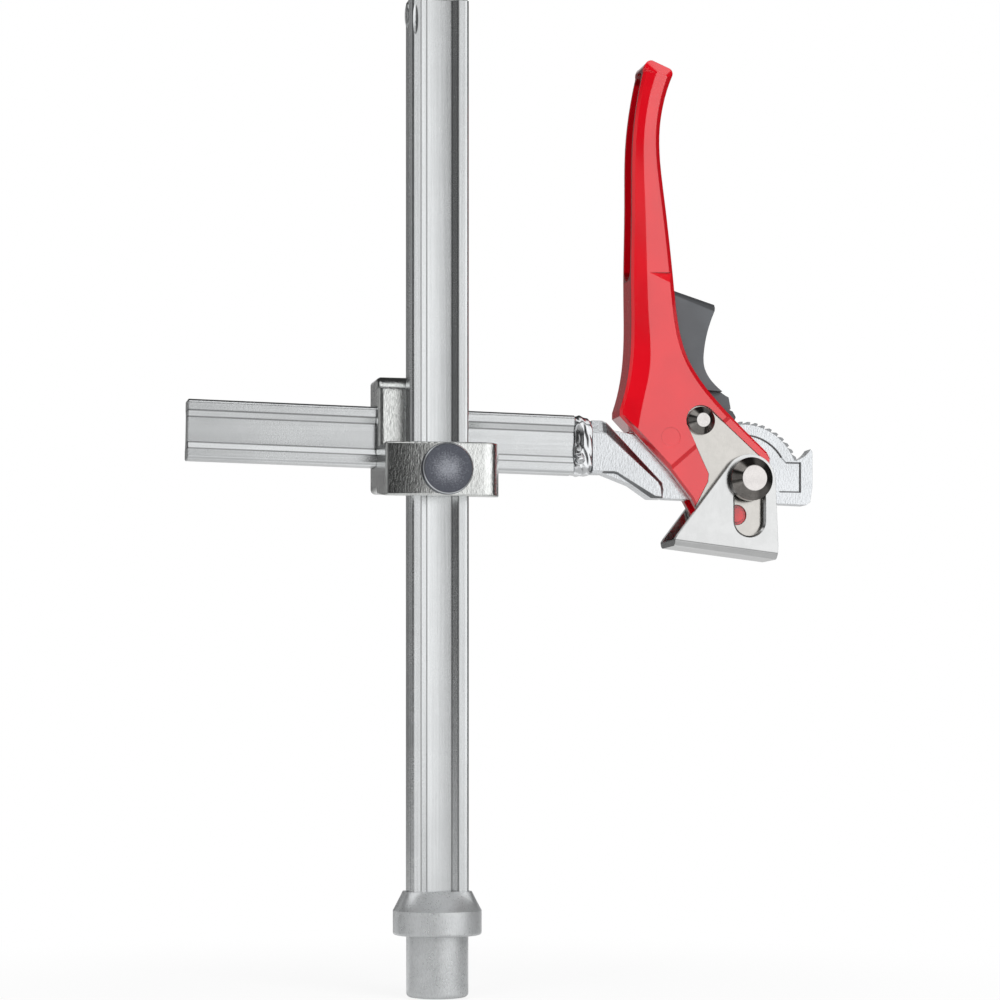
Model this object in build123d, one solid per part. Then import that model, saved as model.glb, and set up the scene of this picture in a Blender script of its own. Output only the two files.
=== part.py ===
"""Table fixture clamp: spigot post, sliding hub, cross rail and a cam lever with its pressure foot."""

import math
import os

from build123d import *

# Grooved rail section, shared by the post and the cross rail
rail_width = 27.0
rail_depth = 13.0
rail_corner = 1.9
flange_width = 5.0
flange_step = 0.6
flank_width = 2.8
groove_depth = 1.8

# Spigot and the forged collar that carries the post
spigot_radius = 14.0
spigot_length = 28.0
collar_radius = 20.0
collar_height = 11.0
shoulder_top = 19.6
post_bottom = 5.0
post_top = 419.6

# Cross rail and its cant
arm_y = 17.5
arm_z = 224.3
arm_cant = 1.05
rail_left = -111.0
rail_right = 66.0

# Hub forging
hub_half_width = 25.9
strap_front = -18.0
strap_bottom = 196.0
strap_top = 220.0
strap_rear = 9.4
strap_crown_radius = 130.0
strap_crown_x = 6.0
housing_back = 30.0
housing_right = 14.5
housing_front = 6.8
housing_bottom = 200.0
housing_top = 251.8
slide_clearance = 0.3
stud_radius = 11.5
stud_x = 1.2
stud_edge = 0.9
stud_z = 208.0
stud_proud = 2.6
stud_seat = 5.0

# Arm head
pivot_x = 148.0
pivot_z = 208.0
head_half = 6.5
web_half = 4.5
pocket_depth = 0.8
neck_half = 4.6
neck_height = 20.0
weld_end = 74.8

# Ratchet round the lever pivot
ratchet_radius = 27.7
ratchet_start = 22.0
ratchet_end = 133.0
tooth_height = 1.4
tooth_pitch = 7.68
tooth_first = 30.2
tooth_count = 13
pocket_radius = 21.5

# Lever pins
pivot_shank = 5.0
pivot_head = 10.0
pivot_face = 5.9
pivot_head_rim = 3.6
pivot_head_cone = 4.0
trigger_pin_x = -22.5
trigger_pin_z = 27.0
trigger_shank = 3.0
trigger_head = 6.5
trigger_face = 3.25
trigger_head_rim = 1.7
trigger_head_cone = 3.0
running = 0.05

# Cam lever stack, measured from the arm's middle plane
cheek_inner = 4.9
plate_inner = 6.3
plate_thickness = 3.0
cheek_low = 9.6
grip_half = 10.5
rim_half = 8.4
back_edge = 1.2
bay_half = 7.9
plate_boss = 7.0
plate_pivot_boss = 12.3
plate_gap = 0.15
step_distance = 27.8
step_angle = 130.8
step_run = 2.0
notch_depth = 1.4
mark_radius = 4.5
mark_depth = 0.15
side_hole_radius = 4.7
side_hole_x = -5.2
side_hole_z = -16.2

# Cam: the flat foot follows an involute, so its lift is the same for every degree
lever_travel = 62.0
cam_rise_per_radian = 10.0
cam_gap = 2.0
foot_tilt = 6.65

# Pressure foot
foot_wall = 3.0
foot_half = 13.0
foot_depth = 35.0
foot_top_radius = 12.2
foot_bend = 3.4
slot_width = 14.0
slot_land = 9.0
slot_chamfer = 0.9

# Trigger, pawl and spring
trigger_half = 7.5
trigger_low_half = 4.6
trigger_wall = 2.2
pawl_front = -2.3
pawl_back = 1.0
spring_strip = 0.7
spring_radius = 4.4
spring_width = 3.4
spring_leg = 8.6
spring_lean = 12.0

plate_outer = plate_inner + plate_thickness
foot_inner = foot_half - foot_wall
pin_seat = foot_half + 0.3
slot_bottom = foot_depth - slot_land
cam_reach = foot_depth - foot_wall - cam_gap
hook_reach = ratchet_radius + 5.6

FRONT = Plane(origin=(pivot_x, arm_y, pivot_z), x_dir=(1, 0, 0), z_dir=(0, -1, 0))


def polar(radius, degrees):
    """Point at a radius and angle round the lever pivot, seen from the front."""
    return (radius * math.cos(math.radians(degrees)), radius * math.sin(math.radians(degrees)))


def area(*points):
    """Closed polygon, wound the same way whichever way its points run."""
    turn = sum(a[0] * b[1] - b[0] * a[1] for a, b in zip(points, points[1:] + points[:1]))
    return Polygon(*(points if turn > 0 else points[::-1]), align=None)


def layer(sketch, near, far):
    """Slab between two distances from the arm's middle plane, positive towards the viewer."""
    return extrude(FRONT.offset(near) * sketch, amount=far - near, dir=FRONT.z_dir)


def mirrored(solid):
    """The same solid on the far side of the arm's middle plane."""
    return mirror(solid, about=Plane(origin=(0, arm_y, 0), z_dir=(0, 1, 0)))


def both_sides(sketch, near, far):
    front = layer(sketch, near, far)
    return front + mirrored(front)


def on_planes(solid, half):
    """Edges that lie on the two planes at this distance from the arm's middle plane."""
    return [e for e in solid.edges() if abs(abs(e.center().Y - arm_y) - half) < 0.01]


def named(solid, name):
    solid.label = name
    return solid


# Rails and collar


def rail_section(gap=0.0):
    """Rail section: two full flanges and a rolled groove along each broad face."""
    half = rail_width / 2
    deep = rail_depth / 2
    edge = half - flange_width
    foot = edge - flank_width
    floor = deep - groove_depth
    outline = Rectangle(rail_width, rail_depth)
    outline = fillet(outline.vertices(), rail_corner)
    groove = area(
        (-edge, deep + 1),
        (-edge, deep - flange_step),
        (-foot, floor),
        (foot, floor),
        (edge, deep - flange_step),
        (edge, deep + 1),
    )
    return outline - groove - mirror(groove, about=Plane.XZ)


def post_rail():
    rail = Pos(0, 0, post_bottom) * extrude(rail_section(), amount=post_top - post_bottom)
    rim = rail.faces().sort_by(Axis.Z)[-1].edges()
    rail = chamfer(rim, 0.4)
    stake = Pos(-rail_width / 2 + 0.1, 0.6, post_top - 6.5) * scale(Sphere(3.0), by=(0.42, 1.0, 1.9))
    dent = Pos(-rail_width / 2 + 2.4, -rail_depth / 2 - 0.55, post_top - 10) * scale(Sphere(3.0), by=(0.5, 0.33, 2.7))
    return rail + stake - dent


def spigot_collar():
    spigot = Pos(0, 0, -spigot_length) * Cylinder(spigot_radius, spigot_length, align=(Align.CENTER, Align.CENTER, Align.MIN))
    spigot = fillet(spigot.edges().sort_by(Axis.Z)[0], 2.0)
    collar = Cylinder(collar_radius, collar_height, align=(Align.CENTER, Align.CENTER, Align.MIN))
    collar = fillet(collar.edges().sort_by(Axis.Z)[0], 1.2)
    shoulder = loft(
        [
            Pos(0, 0, collar_height) * Circle(collar_radius),
            Pos(0, 0, shoulder_top) * RectangleRounded(rail_width + 3.0, rail_depth + 3.0, 4.0),
        ],
        ruled=True,
    )
    socket = Pos(0, 0, post_bottom) * extrude(rail_section(), amount=shoulder_top)
    return spigot + collar + shoulder - socket


def canted(part):
    """Turns a solid drawn level round the crossing point to the cross rail's cant."""
    crossing = Axis((0, arm_y, arm_z), (0, 1, 0))
    return part.rotate(crossing, arm_cant)


def cross_rail():
    section = Plane(origin=(rail_left, arm_y, arm_z), x_dir=(0, 0, 1), z_dir=(1, 0, 0))
    rail = extrude(section * rail_section(), amount=rail_right - rail_left)
    rail = chamfer(rail.faces().sort_by(Axis.X)[0].edges(), 0.4)
    return canted(rail)


# Hub


def hub_forging():
    crown = Pos(strap_crown_x, strap_front + strap_crown_radius) * Circle(strap_crown_radius)
    plan = Pos(0, (strap_rear + strap_front) / 2) * Rectangle(2 * hub_half_width, strap_rear - strap_front)
    plan -= Pos(strap_crown_x - 30, strap_front + 5) * Rectangle(60, 20) - crown
    plan = fillet(plan.vertices().filter_by(lambda v: v.Y < 0).sort_by(Axis.X)[-1], 8.0)
    plan = fillet(plan.vertices().filter_by(lambda v: v.Y < 0).sort_by(Axis.X)[0], 1.8)
    strap = Pos(0, 0, strap_bottom) * extrude(plan, amount=strap_top - strap_bottom)
    strap = fillet(strap.faces().filter_by(Axis.Z).edges(), 0.9)
    draft = Plane.YZ * area((-13, strap_bottom), (20, strap_bottom + 4.4), (20, 180), (-13, 180))
    strap -= extrude(draft, amount=60, both=True)

    housing_width = housing_right + hub_half_width
    housing = Pos(
        (housing_right - hub_half_width) / 2,
        (housing_back + housing_front) / 2,
        (housing_top + housing_bottom) / 2,
    ) * Box(housing_width, housing_back - housing_front, housing_top - housing_bottom)
    front_top = housing.edges().filter_by(Axis.X).group_by(Axis.Y)[0].sort_by(Axis.Z)[-1]
    housing = fillet(front_top, 7.0)
    left = [e for e in housing.edges() if abs(e.center().X + hub_half_width) < 0.01]
    housing = fillet(left, 2.6)

    post_way = Pos(0, 0, (strap_top + strap_bottom) / 2) * Box(
        rail_width + 2 * slide_clearance, rail_depth + 2 * slide_clearance, 100
    )
    arm_way = Pos(0, arm_y, arm_z) * Box(200, rail_depth + 2 * slide_clearance, rail_width + 2 * slide_clearance)
    seat = Pos(stud_x, strap_front + stud_seat, stud_z) * Rot(90, 0, 0) * Cylinder(
        stud_radius, 20, align=(Align.CENTER, Align.CENTER, Align.MIN)
    )
    return strap + housing - post_way - canted(arm_way) - seat


def hub_stud():
    stud = Pos(stud_x, strap_front + stud_seat, stud_z) * Rot(90, 0, 0) * Cylinder(
        stud_radius, stud_seat + stud_proud, align=(Align.CENTER, Align.CENTER, Align.MIN)
    )
    return chamfer(stud.edges().sort_by(Axis.Y)[0], stud_edge)


# Arm head


def head_outline():
    """Thick end of the arm head, from the weld to the diagonal shoulder, at the web's face."""
    return area(
        (-84.0, 26.4),
        (-68.5, 26.6),
        (-66.3, 25.8),
        (-39.6, -1.6),
        (-39.0, -4.6),
        (-39.4, -8.8),
        (-45.3, -8.8),
        (-61.0, 1.7),
        (-62.8, 2.2),
        (-84.0, 2.2),
    )


def head_flat():
    """Flat of the thick end, corner by corner inside its outline."""
    return area(
        (-84.0, 20.4),
        (-68.2, 20.6),
        (-66.6, 20.0),
        (-42.2, -1.4),
        (-41.0, -3.6),
        (-40.6, -8.0),
        (-43.4, -7.6),
        (-61.6, 3.0),
        (-63.0, 3.3),
        (-84.0, 3.3),
    )


def ratchet_outline():
    """Web with the toothed arc, the end hook and the run back to the weld."""
    edge = [
        Line((-68.0, 23.0), (-53.5, 20.6)),
        Line((-53.5, 20.6), (-48.5, 17.6)),
        Line((-48.5, 17.6), (-26.0, 15.5)),
        Line((-26.0, 15.5), polar(ratchet_radius, ratchet_end)),
        CenterArc((0, 0), ratchet_radius, ratchet_end, ratchet_start - ratchet_end),
    ]
    start = polar(ratchet_radius, ratchet_start)
    hook_tip = polar(ratchet_radius + 8.26, 25.7)
    edge += [
        ThreePointArc(start, polar(ratchet_radius + 3.65, 22.3), hook_tip),
        Line(hook_tip, (hook_reach, 14.4)),
        Line((hook_reach, 14.4), (hook_reach, -2.0)),
        Line((hook_reach, -2.0), (hook_reach - 1.1, -9.2)),
        Line((hook_reach - 1.1, -9.2), (hook_reach - 2.9, -10.6)),
        Line((hook_reach - 2.9, -10.6), (-38.0, -8.8)),
        Line((-38.0, -8.8), (-68.0, 2.4)),
        Line((-68.0, 2.4), (-68.0, 23.0)),
    ]
    outline = make_face(Wire(edge))
    for number in range(tooth_count):
        steep = tooth_first + tooth_pitch * number
        root = ratchet_radius - tooth_height
        outline -= area(
            polar(root, steep),
            polar(ratchet_radius + 0.6, steep),
            polar(ratchet_radius + 0.6, steep - tooth_pitch * 0.86),
        )
    return outline


def pocket_outline():
    """Flat floor inside the raised rim of the web."""
    return make_face(
        Wire(
            [
                CenterArc((0, 0), pocket_radius, 32, 108),
                Line(polar(pocket_radius, 140), (-21.0, -4.6)),
                Line((-21.0, -4.6), (27.4, -4.6)),
                Line((27.4, -4.6), (27.4, 9.0)),
                Line((27.4, 9.0), (20.6, 9.0)),
                Line((20.6, 9.0), polar(pocket_radius, 32)),
            ]
        )
    )


def weld_neck():
    """Tongue of the head that the weld bead wraps, square to the cross rail's end."""
    length = weld_end + 1 - rail_right
    return canted(Pos(rail_right + length / 2, arm_y, arm_z) * Box(length, 2 * neck_half, neck_height))


def arm_head():
    side = loft([FRONT.offset(web_half) * head_outline(), FRONT.offset(head_half) * head_flat()], ruled=True)
    thick = both_sides(head_outline(), 0, web_half) + side + mirrored(side)
    web = both_sides(ratchet_outline(), 0, web_half)
    pocket = both_sides(pocket_outline(), web_half - pocket_depth, web_half + 1)
    bore = both_sides(Circle(pivot_shank), -1, web_half + 3)
    cutoff = Pos(weld_end - 50, arm_y, arm_z) * Box(100, 60, 60)
    return (thick + web - cutoff) + weld_neck() - pocket - bore


def weld_ring(x, width, height, lift):
    seat = Plane(origin=(x, arm_y, arm_z + lift), x_dir=(0, 0, 1), z_dir=(1, 0, 0))
    return seat * RectangleRounded(height, width, 4.5)


def arm_weld():
    rings = [
        weld_ring(rail_right, 13.0, 26.8, 0.0),
        weld_ring(rail_right + 2.6, 15.0, 28.0, 0.0),
        weld_ring(rail_right + 4.8, 14.4, 27.2, -0.2),
        weld_ring(rail_right + 6.8, 14.8, 26.4, -0.5),
        weld_ring(weld_end, 13.4, 25.0, -1.2),
    ]
    return canted(loft(rings, ruled=True)) - weld_neck() - arm_head()


# Pins


def cone_head(radius, face, rim, cone, seat):
    """Domed rivet head: a short rim and a cone up to a flat face."""
    profile = area((0, 0), (radius, 0), (radius, rim), (face, rim + cone), (0, rim + cone))
    profile = fillet(profile.vertices().filter_by(lambda v: v.X > 0.1 and v.Y > 0.1), 0.5)
    turned = revolve(Plane.XZ * profile, Axis.Z)
    return FRONT.offset(seat).location * turned


def pin_shank(radius, half):
    return FRONT.offset(-half).location * Cylinder(radius, 2 * half, align=(Align.CENTER, Align.CENTER, Align.MIN))


def pivot_pin():
    head = cone_head(pivot_head, pivot_face, pivot_head_rim, pivot_head_cone, pin_seat)
    return pin_shank(pivot_shank, pin_seat) + head


def pivot_cap():
    head = cone_head(pivot_head, pivot_face, pivot_head_rim, pivot_head_cone, pin_seat)
    return mirrored(head)


def trigger_pin():
    shank = Pos(trigger_pin_x, 0, trigger_pin_z) * pin_shank(trigger_shank, plate_outer)
    head = cone_head(trigger_head, trigger_face, trigger_head_rim, trigger_head_cone, plate_outer)
    return shank + Pos(trigger_pin_x, 0, trigger_pin_z) * head


def trigger_cap():
    head = cone_head(trigger_head, trigger_face, trigger_head_rim, trigger_head_cone, plate_outer)
    return mirrored(Pos(trigger_pin_x, 0, trigger_pin_z) * head)


# Cam lever


def cam_point(turn):
    """Point of the cam edge that presses the foot when the lever is turned by this angle."""
    direction = math.radians(turn - 90 - foot_tilt)
    reach = cam_reach - cam_rise_per_radian * math.radians(turn)
    slope = -cam_rise_per_radian
    x = reach * math.cos(direction) - slope * math.sin(direction)
    z = reach * math.sin(direction) + slope * math.cos(direction)
    return (x, z)


def plate_outline():
    """Side plate: boss round the trigger pin, boss round the pivot, cam lobe below."""
    sx, sz = trigger_pin_x, trigger_pin_z
    reach = math.hypot(sx, sz)
    along = math.degrees(math.atan2(-sz, -sx))
    swing = math.degrees(math.asin((plate_pivot_boss - plate_boss) / reach))
    side = along + 90 + swing
    top_right = (sx + polar(plate_boss, side)[0], sz + polar(plate_boss, side)[1])
    low_right = polar(plate_pivot_boss, side)
    left = side + 145
    top_left = (sx + polar(plate_boss, left)[0], sz + polar(plate_boss, left)[1])
    cam = [cam_point(turn) for turn in (lever_travel, 46, 31, 15, 0)]
    heel = cam_point(-9)
    right_foot = polar(plate_pivot_boss, -8)
    edge = [
        Line(low_right, top_right),
        ThreePointArc(top_right, (sx + polar(plate_boss, side + 72)[0], sz + polar(plate_boss, side + 72)[1]), top_left),
        Line(top_left, (-18.6, 2.6)),
        Line((-18.6, 2.6), (-18.9, -1.0)),
        Line((-18.9, -1.0), (-24.6, -12.0)),
        Line((-24.6, -12.0), (-22.6, -19.5)),
        Line((-22.6, -19.5), heel),
        Spline(heel, *reversed(cam)),
        Line(cam[0], right_foot),
        ThreePointArc(right_foot, polar(plate_pivot_boss, (side - 8) / 2), low_right),
    ]
    return make_face(Wire(edge))


def side_plate():
    plate = layer(plate_outline(), plate_inner, plate_outer)
    holes = Circle(pivot_shank + running) + Pos(side_hole_x, side_hole_z) * Circle(side_hole_radius)
    holes += Pos(trigger_pin_x, trigger_pin_z) * Circle(trigger_shank)
    plate -= layer(holes, plate_inner - 1, plate_outer + 1)
    return plate


def handle_outline(trim=0.0):
    """Whole lever from the front, its back edge moved in by the trim."""
    back = [(-60.6, 31.5), (-56.2, 50.0), (-55.2, 90.0), (-54.7, 127.0), (-54.2, 157.0), (-51.6, 177.0), (-49.4, 187.6)]
    back = [(x + trim, z) for x, z in back]
    front = [(-35.8, 186.2), (-39.6, 175.0), (-41.9, 160.5), (-39.6, 129.0), (-35.0, 88.0), (-28.9, 57.1)]
    front += [(-11.1, 33.1), (9.8, 13.2)]
    below = [(9.8, 13.2), (11.3, 10.4), (10.8, 0.0), (9.0, -14.0), (-8.0, -24.5), (-19.0, -22.5), (-26.6, -9.0)]
    below += [(-36.1, 3.0), (-60.6 + trim, 28.5 + trim / 2), back[0]]
    edge = [
        Spline(*back),
        ThreePointArc(back[-1], (-48.6, 191.2), (-45.3, 192.8)),
        Line((-45.3, 192.8), (-37.6, 189.7)),
        ThreePointArc((-37.6, 189.7), (-35.9, 188.2), front[0]),
        Spline(*front),
    ]
    edge += [Line(start, end) for start, end in zip(below, below[1:])]
    return make_face(Wire(edge))


def handle_flat():
    """Flat of the lever's side, edge by edge inside the whole outline."""
    back = [(-52.6, 22.9), (-49.6, 38.1), (-47.2, 50.0), (-47.5, 72.0), (-48.5, 97.5), (-49.4, 127.9), (-49.8, 157.3)]
    back += [(-48.2, 171.0), (-44.0, 186.4)]
    front = [(-38.9, 184.9), (-42.1, 174.5), (-44.2, 160.5), (-41.9, 129.0), (-37.3, 88.0), (-31.2, 56.5)]
    front += [(-12.6, 31.4), (8.4, 11.9)]
    below = [(8.4, 11.9), (9.9, 9.8), (9.5, 0.2), (7.8, -13.2), (-8.1, -23.0), (-18.0, -21.2), (-25.3, -8.2)]
    below += [(-34.8, 3.9), (-52.9, 22.6), (-52.6, 22.9)]
    edge = [
        Spline(*back),
        Line(back[-1], (-43.5, 187.3)),
        Line((-43.5, 187.3), (-39.4, 185.9)),
        Line((-39.4, 185.9), front[0]),
        Spline(*front),
    ]
    edge += [Line(start, end) for start, end in zip(below, below[1:])]
    return make_face(Wire(edge))


def cheek_step():
    """Everything outside the lower cheeks, ending at the sloping step."""
    turn = math.radians(step_angle)
    across = Plane(
        origin=(pivot_x, arm_y, pivot_z),
        x_dir=(math.cos(turn), 0, math.sin(turn)),
        z_dir=(math.sin(turn), 0, -math.cos(turn)),
    )
    profile = area(
        (-70, cheek_low),
        (step_distance - step_run / 2, cheek_low),
        (step_distance + step_run / 2, grip_half),
        (step_distance + step_run / 2, grip_half + 3),
        (-70, grip_half + 3),
    )
    cut = extrude(across * profile, amount=90, both=True)
    return cut + mirrored(cut)


def grip_notch():
    """Wedge-shaped notch in the side of the grip, deepest at its front edge."""
    end = Plane(origin=(pivot_x - 35.6, arm_y, pivot_z), x_dir=(0, -1, 0), z_dir=(-1, 0, 0))
    base = end * area((grip_half + 0.3, 95.0), (grip_half - notch_depth, 95.0), (grip_half + 0.3, 88.2))
    cut = loft([base, Vertex(pivot_x - 47.6, arm_y - grip_half - 0.05, pivot_z + 94.6)])
    return cut + mirrored(cut)


def arm_way_outline():
    """Slot between the cheeks that clears the web, the teeth and the end hook through the whole travel."""
    web = area((-80, 24.6), (-54.0, 22.2), (-48.0, 19.0), (-10, 19), (-10, -40), (-80, -40))
    hook = area((0, 0), polar(60, 8), polar(60, 50), polar(60, 92)) & Circle(ratchet_radius + 10.1)
    hub = area((-41.0, 50), (-33.8, 38), (-32.2, 25), (-24, 15), (40, 15), (40, 50))
    return web + hook + Circle(ratchet_radius + 1.7) + hub


def bay_outline():
    """Room for the broad part of the trigger."""
    swing = Pos(trigger_pin_x, trigger_pin_z) * Circle(63.4)
    room = area((-49, 44.4), (-37.5, 44.4), (-26, 38.6), (20, 38.6), (20, 100), (-49, 100))
    return room & swing


def back_groove():
    """Finger groove down the back of the grip."""
    side = area((-70, 85), (-50.0, 85), (-49.6, 132), (-48.2, 162), (-46.8, 178), (-47.4, 191), (-70, 191))
    band = both_sides(side, -1, 12)
    face = Plane(origin=(pivot_x - 60, arm_y, pivot_z + 140.5), x_dir=(0, 0, 1), z_dir=(1, 0, 0))
    stadium = extrude(face * SlotOverall(97.0, 11.4), amount=30, both=True)
    return band & stadium


def lever_handle():
    core = rim_half - back_edge
    whole = FRONT.offset(core) * handle_outline()
    trimmed = FRONT.offset(rim_half) * handle_outline(back_edge)
    flat = FRONT.offset(grip_half) * handle_flat()
    side = loft([whole, trimmed], ruled=True) + loft([trimmed, flat], ruled=True)
    body = both_sides(handle_outline(), 0, core) + side + mirrored(side)
    body -= cheek_step() + grip_notch()
    body -= layer(Pos(-37.1, 19.1) * Circle(mark_radius), grip_half - mark_depth, grip_half + 1)
    body -= both_sides(offset(plate_outline(), plate_gap), plate_inner, grip_half + 2)
    body -= both_sides(arm_way_outline(), -1, cheek_inner)
    body -= both_sides(bay_outline(), -1, bay_half)
    body -= back_groove()
    pins = Circle(pivot_shank + 0.3) + Pos(trigger_pin_x, trigger_pin_z) * Circle(trigger_shank)
    body -= both_sides(pins, 0, 40)
    button = Pos(side_hole_x, side_hole_z) * Circle(side_hole_radius - 0.1)
    body += both_sides(button, plate_inner, plate_outer - 0.9)
    body += both_sides(Pos(side_hole_x, side_hole_z) * Circle(side_hole_radius - 1.2), plate_outer - 1, plate_outer)
    return body


# Trigger group


def trigger_outline():
    edge = [
        Line((-36.0, 87.8), (-15.0, 81.4)),
        Line((-15.0, 81.4), (-15.2, 78.4)),
        Spline((-15.2, 78.4), (-18.1, 70.6), (-20.3, 60.0), (-20.1, 52.0), (-15.6, 44.7), (-7.6, 38.8)),
        Line((-7.6, 38.8), (-6.6, 33.6)),
        Line((-6.6, 33.6), (-17.0, 21.9)),
        Line((-17.0, 21.9), (-28.0, 21.9)),
        Line((-28.0, 21.9), (-30.5, 40.0)),
        Line((-30.5, 40.0), (-37.0, 52.0)),
        Line((-37.0, 52.0), (-36.0, 87.8)),
    ]
    return make_face(Wire(edge))


def release_trigger():
    outline = trigger_outline()
    broad = area((-40, 50.5), (-24.5, 42.0), (0, 40.4), (0, 100), (-40, 100)) & outline
    shell = both_sides(broad, 0, trigger_half)
    top = shell.faces().filter_by(lambda f: f.center().Z > pivot_z + 84 and f.normal_at().Z > 0.8)
    shell = chamfer([e for f in top for e in f.edges() if abs(abs(e.center().Y - arm_y) - trigger_half) < 0.01], 1.6)
    hollow = area((-50, 53.5), (-27.0, 48.0), (-21.8, 48.0), (-22.8, 60.0), (-20.4, 71.0), (-17.8, 79.6), (-50, 89.4))
    low = area((-40, 15), (0, 15), (0, 46.0), (-40, 54.0)) & outline
    hub = both_sides(low, 0, trigger_low_half)
    spring_room = layer(Pos(trigger_pin_x, trigger_pin_z) * Circle(8.6), -12, 2.3)
    pawl_room = layer(area((-40, 10), (10, 10), (10, 36.6), (-40, 36.6)), -12, 2.3)
    shell = shell - both_sides(hollow, -1, trigger_half - trigger_wall) + hub
    bore = both_sides(Pos(trigger_pin_x, trigger_pin_z) * Circle(trigger_shank + running), -1, 20)
    rivet = both_sides(Pos(-13.2, 30.6) * Circle(1.6), -1, 20)
    return shell - spring_room - pawl_room - bore - rivet


def pawl():
    boss = Pos(trigger_pin_x, trigger_pin_z) * Circle(5.0)
    arm = area(
        (trigger_pin_x - 0.5, trigger_pin_z + 4.9),
        polar(ratchet_radius + 7.35, 104.0),
        polar(ratchet_radius + 5.3, 98.7),
        polar(ratchet_radius + 2.5, 96.5),
        polar(ratchet_radius + 0.51, 98.6),
        polar(ratchet_radius + 2.93, 106.3),
        (trigger_pin_x + 3.1, trigger_pin_z - 3.8),
    )
    arm = fillet(arm.vertices().sort_by(Axis.X)[-3:], 0.5)
    blank = layer(boss + arm, -pawl_back, -pawl_front)
    blank -= both_sides(Pos(trigger_pin_x, trigger_pin_z) * Circle(trigger_shank + running), -1, 20)
    return blank - both_sides(Pos(-13.2, 30.6) * Circle(1.6), -1, 20)


def pawl_rivet():
    return layer(Pos(-13.2, 30.6) * Circle(1.6), -pawl_back, trigger_low_half)


def trigger_spring():
    """Hairpin spring behind the pawl: a bent strip round the trigger pin with both legs upwards."""
    outer = spring_radius + spring_strip / 2
    inner = spring_radius - spring_strip / 2
    legs = Pos(0, spring_leg / 2) * (Rectangle(2 * outer, spring_leg) - Rectangle(2 * inner, spring_leg))
    bend = (Circle(outer) - Circle(inner)) & Pos(0, -outer) * Rectangle(4 * outer, 2 * outer)
    strip = Pos(trigger_pin_x, trigger_pin_z) * Rot(0, 0, spring_lean) * (legs + bend)
    return layer(strip, -pawl_back - 0.2 - spring_width, -pawl_back - 0.2)


# Pressure foot


def slot_bush():
    ring = Circle(slot_width / 2 - running) - Circle(pivot_shank + running)
    return layer(ring, plate_outer + 0.3, pin_seat - 0.1)


def pressure_foot():
    tilt = math.radians(foot_tilt)
    normal = (-math.sin(tilt), -math.cos(tilt))
    base = Plane(origin=(pivot_x, arm_y, pivot_z), x_dir=(0, 1, 0), z_dir=(math.cos(tilt), 0, -math.sin(tilt)))
    outer = area(
        (-foot_half, 30),
        (-foot_half, -foot_depth),
        (foot_half, -foot_depth),
        (foot_half, 30),
    )
    outer = fillet(outer.vertices().group_by(Axis.Y)[0], foot_bend)
    inner = area(
        (-foot_inner, 40),
        (-foot_inner, -foot_depth + foot_wall),
        (foot_inner, -foot_depth + foot_wall),
        (foot_inner, 40),
    )
    inner = fillet(inner.vertices().group_by(Axis.Y)[0], 0.6)
    channel = extrude(base * (outer - inner), amount=60, both=True)
    left_shoulder = (0.4 + polar(foot_top_radius, 138)[0], -0.4 + polar(foot_top_radius, 138)[1])
    right_shoulder = (0.4 + polar(foot_top_radius, 5)[0], -0.4 + polar(foot_top_radius, 5)[1])
    side = make_face(
        Wire(
            [
                CenterArc((0.4, -0.4), foot_top_radius, 5, 133),
                Line(left_shoulder, (-34.5, 8.9 - foot_depth)),
                Line((-34.5, 8.9 - foot_depth), (-35.6, 7.0 - foot_depth)),
                Line((-35.6, 7.0 - foot_depth), (-35.4, -foot_depth)),
                Line((-35.4, -foot_depth), (13.2, -foot_depth - 5)),
                Line((13.2, -foot_depth - 5), (13.9, 4 - foot_depth)),
                Line((13.9, 4 - foot_depth), right_shoulder),
            ]
        )
    )
    foot = channel & both_sides(side, -1, 20)
    reach = slot_bottom - slot_width / 2
    slot = Pos(0, -reach / 2) * Rot(0, 0, 90) * SlotCenterToCenter(reach, slot_width)
    foot -= both_sides(slot, 0, 20)
    rims = [e for e in on_planes(foot, foot_half) if abs(e.center().X - pivot_x) < slot_width / 2 + 0.2]
    lips = [e for e in rims if -slot_bottom - 1 < e.center().Z - pivot_z < slot_width / 2 + 1]
    return chamfer(lips, slot_chamfer)


def write_parts():
    parts = {
        "post_rail": post_rail(),
        "spigot_collar": spigot_collar(),
        "hub_forging": hub_forging(),
        "hub_stud": hub_stud(),
        "cross_rail": cross_rail(),
        "arm_weld": arm_weld(),
        "arm_head": arm_head(),
        "pivot_pin": pivot_pin(),
        "pivot_cap": pivot_cap(),
        "lever_handle": lever_handle(),
        "side_plate_front": side_plate(),
        "side_plate_rear": mirrored(side_plate()),
        "trigger_pin": trigger_pin(),
        "trigger_cap": trigger_cap(),
        "trigger_spring": trigger_spring(),
        "release_trigger": release_trigger(),
        "pawl": pawl(),
        "pawl_rivet": pawl_rivet(),
        "slot_bush_front": slot_bush(),
        "slot_bush_rear": mirrored(slot_bush()),
        "pressure_foot": pressure_foot(),
    }
    os.makedirs("parts", exist_ok=True)
    for name, part in parts.items():
        export_step(named(part, name), f"parts/{name}.step")
        print(name, len(part.solids()), round(part.volume, 1))


write_parts()
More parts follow.
